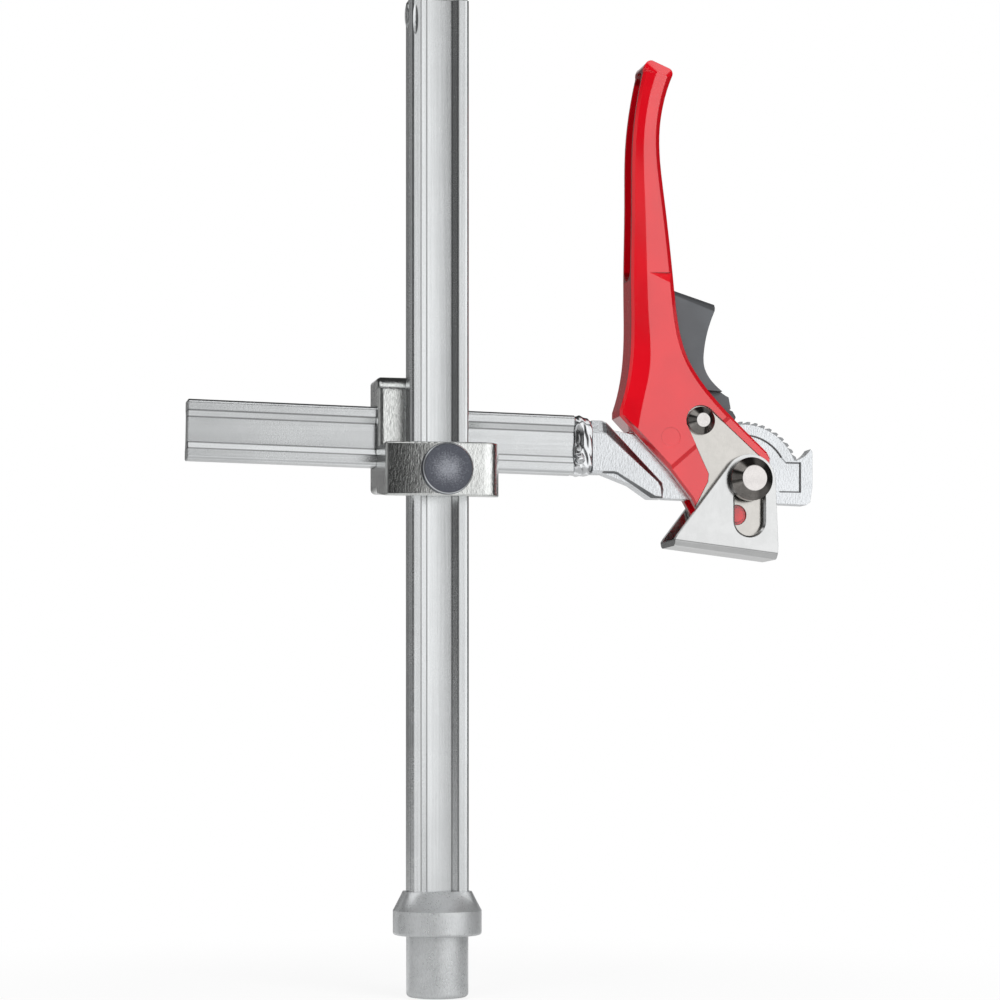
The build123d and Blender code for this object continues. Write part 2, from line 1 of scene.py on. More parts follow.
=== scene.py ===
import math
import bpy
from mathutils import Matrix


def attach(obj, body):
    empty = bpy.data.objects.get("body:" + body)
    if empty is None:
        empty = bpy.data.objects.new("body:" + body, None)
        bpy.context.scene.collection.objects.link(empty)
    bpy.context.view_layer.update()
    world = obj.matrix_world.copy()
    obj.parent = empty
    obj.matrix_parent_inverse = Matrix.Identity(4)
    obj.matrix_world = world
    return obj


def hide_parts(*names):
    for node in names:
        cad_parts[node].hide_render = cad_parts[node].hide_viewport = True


bl_info = {
    "name": "Table Fixture Clamp",
    "version": (1, 0, 0),
    "blender": (4, 5, 0),
    "location": "View3D > Sidebar > Clamp",
    "description": "Dresses a packed table fixture clamp in zinc, steel and moulded plastic",
    "category": "Object",
}

import bmesh
import bpy
from mathutils import Matrix, Vector

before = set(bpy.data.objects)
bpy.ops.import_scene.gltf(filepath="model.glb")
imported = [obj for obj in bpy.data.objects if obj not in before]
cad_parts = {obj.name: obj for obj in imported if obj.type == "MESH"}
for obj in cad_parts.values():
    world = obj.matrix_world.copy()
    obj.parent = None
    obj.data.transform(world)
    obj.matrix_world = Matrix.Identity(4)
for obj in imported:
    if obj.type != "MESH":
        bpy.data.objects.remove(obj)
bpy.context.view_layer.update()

# Camera of the photograph, in metres, degrees and pixels of a 1000 x 1000 frame
CAMERA_PLACE = (-0.225, -1.1943, 0.092)
CAMERA_TURN = 12.0
FOCAL_PIXELS = 2700.0
FRAME_PIXELS = 1000.0
HORIZON_PIXELS = 730.0
SENSOR_MM = 36.0
FAR_CLIP = 50.0

# Lengths are in metres from here on. Turned parts: their axes and the radii of their flat faces
ARM_PIVOT = (0.148, 0.0175, 0.208)
TRIGGER_PIVOT = (0.1255, 0.0175, 0.235)
STUD_CENTRE = (0.0012, -0.0206, 0.208)
PIVOT_FACE = 0.0059
TRIGGER_FACE = 0.00325
STUD_RADIUS = 0.0115
STUD_EDGE = 0.01115
STUD_HIGHLIGHT_WIDTH = 0.00034

# Rails: half widths at which the groove begins and ends, and the slope of the cross rail
RAIL_EDGE = 0.0085
RAIL_FOOT = 0.0057
# Width of the painted shade bands along the groove's edges
RAIL_SHADE_WIDTH = 0.0005
DISH_DEPTH = 0.00025
CROSS_RAIL_Z = 0.2243
CANT = math.radians(1.05)

# Arm head, measured from the lever's pivot
WEB_FACE = 0.0045
HEAD_FACE = 0.0065
SHOULDER_START = -0.0688
POCKET_RADIUS = 0.0215
POCKET_RIGHT = 0.0274
POCKET_TOP = 0.0090
POCKET_SILL = -0.0046
SHELF_START = 0.0200
SILL_START = 0.0170
CREASE = 0.00055
TOOTH_ROOT = 0.0263
TOOTH_CREST = 0.0277
TOOTH_LOWEST = 0.0098

# Pressure foot and finger groove of the lever, measured from the lever's pivot
FOOT_TILT = math.radians(6.65)
FOOT_FOLD = 0.0322
FOLD_SHADE_WIDTH = 0.0003
GROOVE_HALF = 0.0058
GROOVE_FLOOR = -0.0465
GROOVE_ENDS = (0.0915, 0.1895)
GROOVE_BLEND = 0.0005

# Lip along the upper edge of the trigger, darkened as painted shade
LIP_EDGE = (0.1149, 0.0, 0.2953)
LIP_TILT = math.radians(19.9)
LIP_WIDTH = 0.0030
LIP_BLEND = 0.0008

# Weld: its spatter blobs and its hollow, whose place and half size are given in X and Z
WELD_BLOB = (0.0683, 0.0070, 0.2166)
WELD_BLOB_RADIUS = 0.0024
WELD_HOLLOW = (0.0682, 0.2262)
HOLLOW_HALF = (0.0022, 0.0065)
WELD_SLANT = 0.35
WELD_NOISE = 130.0
WELD_WANDER = 1.2
WELD_LUMPS = 1.2
WELD_WAVE = 0.5

# Radii to which the shading eases sharp edges
METAL_EASE = 0.0003
PLASTIC_EASE = 0.0006

# Lights round the clamp by compass angle in degrees: 0 faces its front, 90 its right side and 180 its back.
# A window is where a light starts, is full, begins to fade and ends. Each step of the front light's rise is
# its level, where it starts and where it is full.
FRONT_RISE = ((0.55, -10.0, 8.0), (0.60, 0.0, 20.0))
FRONT_EDGE = (60.0, 74.0)
BACK_LEVEL = 0.50
BACK_EDGE = (128.0, 146.0)
BACK_GAP = (-178.0, -174.0, -160.0, -154.0)
GAP_SHARE = 0.85
LEFT_LEVEL = 0.30
LEFT_WINDOW = (-122.0, -108.0, -64.0, -54.0)
SIDE_LEVEL = 0.10
SIDE_WINDOW = (-52.0, -46.0, -34.0, -28.0)

# Lights by height, as the sine of the angle over the horizon
LEVEL_FADE = (0.30, 0.48)
ABOVE_LEVEL = 0.95
ABOVE_WINDOW = (0.56, 0.68, 0.88, 0.97)
ABOVE_EDGE = (70.0, 120.0)
DARK_LEVEL = 0.035

# Floor: what reflections see of it by distance and compass angle, and its white for the camera
FLOOR_Z = -0.0285
FLOOR_HALF = 6.0
FLOOR_FAR = (0.78, 0.98)
FLOOR_CLOSE = (0.26, 0.36)
FLOOR_FADE = (0.10, 0.40)
FLOOR_WINDOW = (-130.0, -30.0, 10.0, 65.0)
SIDES_LEAST = 0.12
SIDES_RISE = 0.66
CLOSE_LEVEL = 0.45
CLOSE_WHITE = 0.86
FAR_WHITE = 0.14

# Lamps: name, place, the point they face, width and power in watts
LAMPS = (
    ("key", (0.55, -1.5, 1.1), (0.05, 0.0, 0.2), 0.9, 16.0),
    ("fill", (-0.9, -1.4, 0.5), (0.05, 0.0, 0.2), 0.9, 12.0),
    ("back", (0.25, 1.6, 0.9), (0.05, 0.0, 0.2), 0.9, 14.0),
    ("low side", (-0.42, -0.36, 0.05), (0.0, 0.0, 0.0), 0.2, 0.5),
)


def linear(red, green, blue):
    """Colour given as 0 to 255 on a screen, turned into Blender's linear numbers."""

    def channel(value):
        value /= 255.0
        return value / 12.92 if value <= 0.04045 else ((value + 0.055) / 1.055) ** 2.4

    return (channel(red), channel(green), channel(blue), 1.0)


def toned(colour, share):
    """The colour made darker or lighter by this factor."""
    return tuple(min(1.0, channel * share) for channel in colour[:3]) + (1.0,)


# Shader writing


class Wire:
    """An output socket that can be used in arithmetic: every expression adds its Math nodes."""

    def __init__(self, shade, socket):
        self.shade = shade
        self.socket = socket

    def math(self, operation, *others):
        node = self.shade.node("ShaderNodeMath", {"operation": operation}, {0: self})
        for place, other in enumerate(others, 1):
            self.shade.plug(node.inputs[place], other)
        return Wire(self.shade, node.outputs[0])

    def __add__(self, other):
        return self.math("ADD", other)

    __radd__ = __add__

    def __mul__(self, other):
        return self.math("MULTIPLY", other)

    __rmul__ = __mul__

    def __sub__(self, other):
        return self.math("SUBTRACT", other)

    def __rsub__(self, other):
        return self.math("MULTIPLY", -1.0).math("ADD", other)

    def __truediv__(self, other):
        return self.math("DIVIDE", other)

    def __pow__(self, other):
        return self.math("POWER", other)

    def abs(self):
        return self.math("ABSOLUTE")

    def band(self, low, high, to_low=0.0, to_high=1.0):
        """Smooth step from to_low to to_high as the value runs from low to high."""
        node = self.shade.node(
            "ShaderNodeMapRange",
            {"interpolation_type": "SMOOTHSTEP"},
            {"Value": self, "From Min": low, "From Max": high, "To Min": to_low, "To Max": to_high},
        )
        return Wire(self.shade, node.outputs["Result"])

    def within(self, start, full, fade, end):
        """Smooth window: 0 up to start, 1 from full to fade, 0 again from end."""
        return self.band(start, full) * (1.0 - self.band(fade, end))

    def near(self, place, half):
        """1 along a line where the value equals place, falling softly to 0 at this distance."""
        return 1.0 - (self - place).abs().band(half * 0.35, half)


def reach(first, second):
    """Distance from the axis at which both coordinates are 0."""
    return (first * first + second * second).math("SQRT")


def compass(x, y):
    """Compass angle in degrees, from 0 at the front to 180 and -180 at the back."""
    return x.math("ARCTAN2", -1.0 * y) * (180.0 / math.pi)


class Shade:
    """Builds one node tree, for a material or for the world."""

    def __init__(self, owner):
        owner.use_nodes = True
        self.tree = owner.node_tree
        self.tree.nodes.clear()
        self._coords = None

    def node(self, kind, settings=None, sockets=None):
        node = self.tree.nodes.new(kind)
        for name, value in (settings or {}).items():
            setattr(node, name, value)
        for name, value in (sockets or {}).items():
            self.plug(node.inputs[name], value)
        return node

    def plug(self, socket, value):
        if isinstance(value, Wire):
            self.tree.links.new(value.socket, socket)
        else:
            socket.default_value = value

    def wire(self, kind, output, settings=None, sockets=None):
        return Wire(self, self.node(kind, settings, sockets).outputs[output])

    def place(self):
        """Object coordinates, the same as the clamp's own frame in metres."""
        if self._coords is None:
            self._coords = self.wire("ShaderNodeTexCoord", "Object")
        return self._coords

    def mapped(self, scale=(1, 1, 1), turn=(0, 0, 0), shift=(0, 0, 0), source=None):
        sockets = {"Vector": source or self.place(), "Scale": scale, "Rotation": turn, "Location": shift}
        return self.wire("ShaderNodeMapping", "Vector", {}, sockets)

    def axes(self, source=None):
        node = self.node("ShaderNodeSeparateXYZ", {}, {0: source or self.place()})
        return [Wire(self, out) for out in node.outputs]

    def from_point(self, point):
        """Object coordinates measured from this point."""
        return self.mapped(shift=tuple(-c for c in point))

    def noise(self, scale, detail=2.0, rough=0.5, source=None):
        sockets = {"Vector": source or self.place(), "Scale": scale, "Detail": detail, "Roughness": rough}
        return self.wire("ShaderNodeTexNoise", "Fac", {}, sockets)

    def blend(self, amount, first, second):
        node = self.node("ShaderNodeMix", {"data_type": "RGBA"}, {0: amount, 6: first, 7: second})
        return Wire(self, node.outputs[2])

    def bump(self, height, strength, distance, under=None):
        sockets = {"Height": height, "Strength": strength, "Distance": distance}
        if under is not None:
            sockets["Normal"] = under
        return self.wire("ShaderNodeBump", "Normal", {}, sockets)

    def eased(self, radius):
        """Normal that rounds the sharp edges to this radius."""
        return self.wire("ShaderNodeBevel", "Normal", {"samples": 4}, {"Radius": radius})

    def surface(self, sockets):
        shader = self.wire("ShaderNodeBsdfPrincipled", "BSDF", {}, sockets)
        self.node("ShaderNodeOutputMaterial", {}, {"Surface": shader})


def material(name):
    """A fresh material and the tree that fills it."""
    made = bpy.data.materials.new(name)
    return made, Shade(made)


def give(made, *names):
    """Puts the material on the nodes of these names."""
    for name in names:
        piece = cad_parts[name]
        piece.data.materials.clear()
        piece.data.materials.append(made)


# Finishes


def rolled_zinc(name, along, colour):
    """Zinc over rolled steel: streaks along the rail, a speckled bloom, and painted shade as thin grey bands
    beside the groove.
    """
    made, s = material(name)
    if along == "Z":
        x, y, z = s.axes()
        across = x.abs()
        stretch = (900, 900, 14)
    else:
        x, y, z = s.axes(s.mapped(turn=(0, -CANT, 0)))
        across = (z - CROSS_RAIL_Z * math.cos(CANT)).abs()
        stretch = (14, 900, 900)
    streaks = s.noise(1.0, detail=3.0, rough=0.6, source=s.mapped(stretch))
    speckle = s.noise(2600.0, rough=0.65)
    bloom = s.noise(30.0, detail=4.0, rough=0.6)
    dish = (across.math("MINIMUM", RAIL_FOOT) * (1.0 / RAIL_FOOT)) ** 2.0
    # painted shade: thin dark bands where the groove's slope begins and ends
    groove_edge_shade = across.near(RAIL_EDGE, RAIL_SHADE_WIDTH) + across.near(RAIL_FOOT, RAIL_SHADE_WIDTH)
    cloudy = (bloom * 0.45 + streaks * 0.35 + speckle * 0.2).band(0.38, 0.62)
    tint = s.blend(cloudy, toned(colour, 0.88), colour)
    grain = s.bump(speckle, 0.20, 0.0002)
    s.surface(
        {
            "Base Color": s.blend(groove_edge_shade * (0.55 + 0.5 * bloom), tint, toned(colour, 0.30)),
            "Metallic": 1.0,
            "Roughness": 0.18 + 0.08 * bloom + 0.08 * speckle,
            "Normal": s.bump(streaks, 0.07, 0.00025, s.bump(dish, 1.0, DISH_DEPTH, grain)),
        }
    )
    return made


def forged_zinc(name, colour, grain, relief, mottle, rough, metal=1.0, crease_shade=None):
    """Zinc over a forging or casting: pebbled skin with darker hollows, and painted shade darkening the
    colour where the shape folds in.
    """
    made, s = material(name)
    pebble = s.noise(1.0, detail=3.0, rough=0.6, source=s.mapped((grain, grain, grain * 0.4)))
    fine = s.noise(grain * 3.2, rough=0.6)
    clouds = s.noise(55.0, detail=4.0, rough=0.6)
    tint = s.blend((0.5 * clouds + 0.5 * pebble).band(0.36, 0.62), toned(colour, 1.0 - mottle), colour)
    if crease_shade is not None:
        # painted shade: the colour darkens in the folds and hollows that the given mask marks
        tint = s.blend(crease_shade(s) * (0.55 + 0.7 * fine), tint, toned(colour, 0.16))
    skin = s.bump(fine, relief * 0.6, 0.0002, s.eased(METAL_EASE))
    s.surface(
        {
            "Base Color": tint,
            "Metallic": metal,
            "Roughness": rough + 0.10 * pebble + 0.06 * clouds,
            "Normal": s.bump(pebble, relief, 0.0004, skin),
        }
    )
    return made


def head_painted_shade(s):
    """Painted shade of the arm head: darkens the diagonal shoulder, the rim of the web's pocket and the tooth
    gaps.
    """
    x, y, z = s.axes(s.from_point(ARM_PIVOT))
    depth = y.abs()
    radius = reach(x, z)
    slope = depth.within(WEB_FACE + 0.0001, WEB_FACE + 0.0003, HEAD_FACE - 0.0003, HEAD_FACE - 0.0001)
    shoulder = slope * x.band(SHOULDER_START, SHOULDER_START + 0.0010)
    arc = radius.near(POCKET_RADIUS, CREASE) * z.band(POCKET_TOP + 0.0020, POCKET_TOP + 0.0026)
    height = z.within(POCKET_SILL - 0.0004, POCKET_SILL + 0.0002, POCKET_TOP, POCKET_TOP + 0.0005)
    post = x.near(POCKET_RIGHT, CREASE) * height
    left_of_post = 1.0 - x.band(POCKET_RIGHT, POCKET_RIGHT + 0.0005)
    shelf = z.near(POCKET_TOP, CREASE) * x.band(SHELF_START, SHELF_START + 0.0010) * left_of_post
    sill = z.near(POCKET_SILL, CREASE) * x.band(SILL_START, SILL_START + 0.0004) * left_of_post
    ring = radius.within(TOOTH_ROOT, TOOTH_ROOT + 0.0001, TOOTH_CREST, TOOTH_CREST + 0.0001)
    gaps = 0.8 * ring * z.band(TOOTH_LOWEST, TOOTH_LOWEST + 0.0004)
    teeth = gaps * (1.0 - depth.band(HEAD_FACE - 0.0004, HEAD_FACE - 0.0002))
    return (shoulder + arc + post + shelf + sill + teeth).math("MINIMUM", 1.0)


def weld_hollow_shade(s):
    """Painted shade in the hollow of the bead beside the cross rail."""
    x, y, z = s.axes()
    across = (x - WELD_HOLLOW[0]) / HOLLOW_HALF[0]
    along = (z - WELD_HOLLOW[1]) / HOLLOW_HALF[1]
    return 0.8 - (across * across + along * along).band(0.35, 1.1, 0.0, 0.8)


def turned_steel(name, face, shaded_flank, face_radius, rough, centre):
    """Turned steel: a face of one tone inside its radius, another outside (on the pins a darker copy, painted
    shade on the sloping side), and faint rings round the axis.
    """
    made, s = material(name)
    x, y, z = s.axes(s.from_point(centre))
    radius = reach(x, z)
    rings = (radius * 22000.0).math("SINE")
    grit = s.noise(2400.0, rough=0.6)
    clouds = s.noise(240.0, detail=3.0, rough=0.6)
    wear = (0.5 * grit + 0.5 * clouds).band(0.35, 0.65)
    outside = radius.band(face_radius - 0.0001, face_radius + 0.0001)
    tone = s.blend(outside, face, shaded_flank)
    worn = s.blend(outside, toned(face, 0.86), toned(shaded_flank, 0.62))
    s.surface(
        {
            "Base Color": s.blend(wear, worn, tone),
            "Metallic": 1.0,
            "Roughness": rough + 0.08 * clouds,
            "Normal": s.bump(rings * 0.3 + grit, 0.08, 0.0001),
        }
    )
    return made


def sanded_stud(name):
    """Face of the stud: dark sanded steel, lighter towards the middle, with a painted highlight as a bright
    ring at the turned edge.
    """
    made, s = material(name)
    x, y, z = s.axes(s.from_point(STUD_CENTRE))
    radius = reach(x, z)
    grit = s.noise(1500.0, detail=3.0, rough=0.7)
    clouds = s.noise(260.0, detail=3.0, rough=0.6)
    middle = (1.0 - radius.band(0.0, STUD_RADIUS * 0.9)) * 0.75 + (grit - 0.5) * 1.5 + (clouds - 0.5) * 0.5
    body = s.blend(middle.band(0.0, 1.0), linear(104, 107, 116), linear(192, 195, 204))
    # painted highlight: a bright ring at the stud's edge
    edge = radius.near(STUD_EDGE, STUD_HIGHLIGHT_WIDTH)
    s.surface(
        {
            "Base Color": s.blend(edge, body, linear(236, 240, 244)),
            "Metallic": 1.0,
            "Roughness": 0.34 + 0.1 * grit,
            "Normal": s.bump(grit, 0.22, 0.0002),
        }
    )
    return made


def stamped_steel(name, colour, fold=None):
    """Satin sheet: short tumbling scratches and a soft sheen, with a fine dark line of painted shade where a
    wall is folded.
    """
    made, s = material(name)
    scratches = s.noise(1.0, rough=0.6, source=s.mapped((700, 700, 160), turn=(0, 0.5, 0)))
    grit = s.noise(1900.0, detail=3.0, rough=0.6)
    clouds = s.noise(160.0, detail=4.0, rough=0.6)
    tint = s.blend((0.6 * clouds + 0.4 * grit).band(0.38, 0.62), toned(colour, 0.93), colour)
    if fold is not None:
        x, y, z = s.axes(s.mapped(turn=(0, -FOOT_TILT, 0), source=s.from_point(ARM_PIVOT)))
        # painted shade: a fine dark line at the fold
        tint = s.blend(z.near(-fold, FOLD_SHADE_WIDTH) * 0.7, tint, toned(colour, 0.3))
    s.surface(
        {
            "Base Color": tint,
            "Metallic": 1.0,
            "Roughness": 0.16 + 0.10 * grit,
            "Normal": s.bump(scratches * 0.6 + grit * 0.4, 0.08, 0.0002, s.eased(METAL_EASE)),
        }
    )
    return made


def gloss_plastic(name, colour):
    """Glossy injection moulding: very slight waves in the skin, and painted shade as a deeper tone in the
    finger groove.
    """
    made, s = material(name)
    waves = s.noise(34.0)
    dust = s.noise(900.0, rough=0.6)
    tint = s.blend(waves.band(0.35, 0.65), toned(colour, 0.90), colour)
    x, y, z = s.axes(s.from_point(ARM_PIVOT))
    low, high = GROOVE_ENDS
    ends = z.within(low, low + GROOVE_BLEND, high, high + GROOVE_BLEND)
    sides = 1.0 - y.abs().band(GROOVE_HALF - 0.0003, GROOVE_HALF)
    groove = sides * ends * (1.0 - x.band(GROOVE_FLOOR, GROOVE_FLOOR + GROOVE_BLEND))
    s.surface(
        {
            # painted shade: the finger groove is darkened in the colour
            "Base Color": s.blend(groove, tint, toned(colour, 0.30)),
            "Roughness": 0.12 + 0.05 * dust,
            "IOR": 1.5,
            "Coat Weight": 1.0,
            "Coat Roughness": 0.04,
            "Coat IOR": 1.75,
            "Normal": s.bump(waves, 0.05, 0.0006, s.eased(PLASTIC_EASE)),
        }
    )
    return made


def grained_plastic(name, colour):
    """Dark moulded plastic with a fine spark-eroded grain, and painted shade darkening a narrow band along
    its upper edge.
    """
    made, s = material(name)
    grain = s.noise(2600.0, detail=3.0, rough=0.6)
    clouds = s.noise(60.0, detail=3.0)
    tint = s.blend(clouds.band(0.35, 0.65), colour, toned(colour, 1.18))
    x, y, z = s.axes(s.from_point(LIP_EDGE))
    below = x * -math.sin(LIP_TILT) - z * math.cos(LIP_TILT)
    lip_shade = 1.0 - below.band(LIP_WIDTH - LIP_BLEND, LIP_WIDTH)
    s.surface(
        {
            # painted shade: the band along the upper edge is darkened in the colour
            "Base Color": s.blend(lip_shade, tint, toned(colour, 0.48)),
            "Roughness": 0.42 + 0.08 * grain,
            "Normal": s.bump(grain, 0.12, 0.0002),
        }
    )
    return made


# Settings in the panel


def colour_setting(name, description, default):
    return bpy.props.FloatVectorProperty(
        name=name, description=description, subtype="COLOR", size=4, min=0.0, max=1.0, default=default
    )


def length_setting(name, description, default, least=0.0):
    return bpy.props.FloatProperty(
        name=name, description=description, subtype="DISTANCE", unit="LENGTH", default=default, min=least
    )


class ClampPost(bpy.types.PropertyGroup):
    zinc: colour_setting("Rail zinc", "Colour of the zinc on the two rails", (0.86, 0.88, 0.89, 1.0))
    collar: colour_setting("Collar zinc", "Colour of the forged collar and spigot", (0.80, 0.82, 0.83, 1.0))


class ClampLever(bpy.types.PropertyGroup):
    red: colour_setting("Handle colour", "Colour of the moulded lever", linear(224, 4, 26))
    trigger: colour_setting("Trigger colour", "Colour of the release trigger", linear(88, 90, 93))


class ClampWeld(bpy.types.PropertyGroup):
    skin: length_setting("Skin size", "Size of the mesh faces of the bead", 0.0004, 0.0002)
    depth: length_setting("Ripple depth", "How far the ripples rise and sink", 0.00025)
    pitch: length_setting("Ripple pitch", "Distance from one ripple to the next", 0.0030, 0.0005)
    hollow: length_setting("Hollow depth", "Depth of the hollow beside the cross rail", 0.0016)
    seed: bpy.props.IntProperty(name="Seed", description="Number that fixes the lumps", default=4, min=0)


# Pieces of the clamp


class CLAMP_OT_rails(bpy.types.Operator):
    """Finish the post and the cross rail"""

    bl_idname = "clamp.rails"
    bl_label = "Rails"

    def execute(self, context):
        zinc = tuple(context.scene.clamp_post.zinc)
        give(rolled_zinc("post zinc", "Z", zinc), "post_rail")
        give(rolled_zinc("cross rail zinc", "X", zinc), "cross_rail")
        return {"FINISHED"}


class CLAMP_OT_forgings(bpy.types.Operator):
    """Finish the collar, the hub and the arm head"""

    bl_idname = "clamp.forgings"
    bl_label = "Forgings"

    def execute(self, context):
        zinc = tuple(context.scene.clamp_post.collar)
        skin = dict(grain=1500.0, relief=0.38, mottle=0.17, rough=0.21, metal=0.77)
        give(forged_zinc("collar zinc", zinc, **skin), "spigot_collar")
        skin = dict(grain=1300.0, relief=0.26, mottle=0.26, rough=0.04)
        give(forged_zinc("hub zinc", linear(246, 248, 246), **skin), "hub_forging")
        skin = dict(grain=1600.0, relief=0.32, mottle=0.12, rough=0.13, crease_shade=head_painted_shade)
        give(forged_zinc("arm head zinc", linear(242, 245, 248), **skin), "arm_head")
        return {"FINISHED"}


def weld_blank():
    """The plain weld solid with a spatter blob on each side, as one mesh for the ripples to work on."""
    shape = bmesh.new()
    shape.from_mesh(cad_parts["arm_weld"].data)
    bmesh.ops.remove_doubles(shape, verts=shape.verts, dist=1e-6)
    for side in (-1, 1):
        place = Matrix.Translation((WELD_BLOB[0], ARM_PIVOT[1] + side * WELD_BLOB[1], WELD_BLOB[2]))
        bmesh.ops.create_icosphere(shape, subdivisions=3, radius=WELD_BLOB_RADIUS, matrix=place)
    mesh = bpy.data.meshes.new("weld_bead")
    shape.to_mesh(mesh)
    shape.free()
    return mesh


def weld_tree(finish):
    """Geometry Nodes: melts the blank into one skin, then lifts ripples and sinks one hollow in it."""
    tree = bpy.data.node_groups.new("weld ripples", "GeometryNodeTree")
    face = tree.interface
    face.new_socket("Geometry", in_out="INPUT", socket_type="NodeSocketGeometry")
    for name in ("Skin size", "Ripple depth", "Ripple pitch", "Hollow depth", "Seed"):
        face.new_socket(name, in_out="INPUT", socket_type="NodeSocketFloat")
    face.new_socket("Geometry", in_out="OUTPUT", socket_type="NodeSocketGeometry")

    def node(kind, settings=None, sockets=None):
        made = tree.nodes.new(kind)
        for key, value in (settings or {}).items():
            setattr(made, key, value)
        for key, value in (sockets or {}).items():
            if isinstance(value, bpy.types.NodeSocket):
                tree.links.new(value, made.inputs[key])
            else:
                made.inputs[key].default_value = value
        return made

    def sums(operation, first, second=0.0):
        return node("ShaderNodeMath", {"operation": operation}, {0: first, 1: second}).outputs[0]

    def squared(axis, centre, half):
        """Square of the distance from the hollow's centre, 1 at its rim."""
        share = sums("DIVIDE", sums("SUBTRACT", axis, centre), half)
        return sums("POWER", sums("ABSOLUTE", share), 2.0)

    given = node("NodeGroupInput").outputs
    by_size = {"resolution_mode": "VOXEL_SIZE"}
    sockets = {"Mesh": given["Geometry"], "Voxel Size": given["Skin size"]}
    volume = node("GeometryNodeMeshToVolume", by_size, sockets).outputs[0]
    sockets = {"Volume": volume, "Voxel Size": given["Skin size"]}
    skin = node("GeometryNodeVolumeToMesh", by_size, sockets).outputs[0]
    place = node("GeometryNodeInputPosition").outputs[0]
    x, y, z = node("ShaderNodeSeparateXYZ", {}, {0: place}).outputs
    sockets = {"Vector": place, "W": given["Seed"], "Scale": WELD_NOISE, "Detail": 1.0}
    wander = node("ShaderNodeTexNoise", {"noise_dimensions": "4D"}, sockets).outputs[0]
    slope = sums("ADD", x, sums("MULTIPLY", z, WELD_SLANT))
    phase = sums("ADD", sums("DIVIDE", slope, given["Ripple pitch"]), sums("MULTIPLY", wander, WELD_WANDER))
    wave = sums("SINE", sums("MULTIPLY", phase, 2.0 * math.pi))
    lumps = sums("MULTIPLY", sums("SUBTRACT", wander, 0.5), WELD_LUMPS)
    rise = sums("MULTIPLY", sums("ADD", sums("MULTIPLY", wave, WELD_WAVE), lumps), given["Ripple depth"])
    along = squared(z, WELD_HOLLOW[1], HOLLOW_HALF[1])
    across = squared(x, WELD_HOLLOW[0], HOLLOW_HALF[0])
    pit = sums("MAXIMUM", sums("SUBTRACT", sums("SUBTRACT", 1.0, along), across), 0.0)
    lift = sums("SUBTRACT", rise, sums("MULTIPLY", pit, given["Hollow depth"]))
    normal = node("GeometryNodeInputNormal").outputs[0]
    push = node("ShaderNodeVectorMath", {"operation": "SCALE"}, {0: normal, "Scale": lift}).outputs[0]
    moved = node("GeometryNodeSetPosition", {}, {"Geometry": skin, "Offset": push}).outputs[0]
    smooth = node("GeometryNodeSetShadeSmooth", {}, {"Geometry": moved}).outputs[0]
    real = node("GeometryNodeRealizeInstances", {}, {"Geometry": smooth}).outputs[0]
    dressed = node("GeometryNodeSetMaterial", {}, {"Geometry": real, "Material": finish}).outputs[0]
    node("NodeGroupOutput", {}, {"Geometry": dressed})
    return tree


class CLAMP_OT_weld(bpy.types.Operator):
    """Melt the weld bead between the cross rail and the arm head"""

    bl_idname = "clamp.weld"
    bl_label = "Weld bead"

    def execute(self, context):
        sizes = context.scene.clamp_weld
        skin = dict(grain=900.0, relief=0.06, mottle=0.12, rough=0.10, crease_shade=weld_hollow_shade)
        finish = forged_zinc("weld zinc", linear(238, 240, 242), **skin)
        blank = bpy.data.objects.new("weld_bead", weld_blank())
        context.scene.collection.objects.link(blank)
        modifier = blank.modifiers.new("ripples", "NODES")
        modifier.node_group = weld_tree(finish)
        given = {
            "Skin size": sizes.skin,
            "Ripple depth": sizes.depth,
            "Ripple pitch": sizes.pitch,
            "Hollow depth": sizes.hollow,
            "Seed": float(sizes.seed),
        }
        for item in modifier.node_group.interface.items_tree:
            if item.in_out == "INPUT" and item.name in given:
                modifier[item.identifier] = given[item.name]
        graph = context.evaluated_depsgraph_get()
        made = bpy.data.meshes.new_from_object(blank.evaluated_get(graph))
        blank.modifiers.remove(modifier)
        blank.data = made
        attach(blank, "arm")
        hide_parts("arm_weld")
        return {"FINISHED"}


class CLAMP_OT_steel(bpy.types.Operator):
    """Finish the pins, plates, bushes, stud, pawl and spring"""

    bl_idname = "clamp.steel"
    bl_label = "Steel parts"

    def execute(self, context):
        # the darker outer tone of the pins is painted shade on their sloping sides
        face, shaded_flank, plain = linear(228, 224, 222), linear(150, 146, 142), linear(190, 190, 190)
        pivot = turned_steel("pivot pin steel", face, shaded_flank, PIVOT_FACE, 0.08, ARM_PIVOT)
        give(pivot, "pivot_pin", "pivot_cap")
        hinge = turned_steel("trigger pin steel", face, shaded_flank, TRIGGER_FACE, 0.08, TRIGGER_PIVOT)
        give(hinge, "trigger_pin", "trigger_cap", "pawl_rivet")
        give(sanded_stud("stud steel"), "hub_stud")
        bush = turned_steel("bush steel", plain, plain, PIVOT_FACE, 0.3, ARM_PIVOT)
        give(bush, "slot_bush_front", "slot_bush_rear")
        give(stamped_steel("plate steel", linear(216, 213, 208)), "side_plate_front", "side_plate_rear")
        give(stamped_steel("foot zinc", linear(228, 229, 229), FOOT_FOLD), "pressure_foot")
        give(stamped_steel("pawl steel", linear(90, 90, 92)), "pawl")
        give(stamped_steel("spring steel", linear(120, 120, 122)), "trigger_spring")
        return {"FINISHED"}


class CLAMP_OT_lever(bpy.types.Operator):
    """Finish the moulded lever and its trigger"""

    bl_idname = "clamp.lever"
    bl_label = "Lever mouldings"

    def execute(self, context):
        colours = context.scene.clamp_lever
        give(gloss_plastic("handle red", tuple(colours.red)), "lever_handle")
        give(grained_plastic("trigger grey", tuple(colours.trigger)), "release_trigger")
        return {"FINISHED"}


# Studio


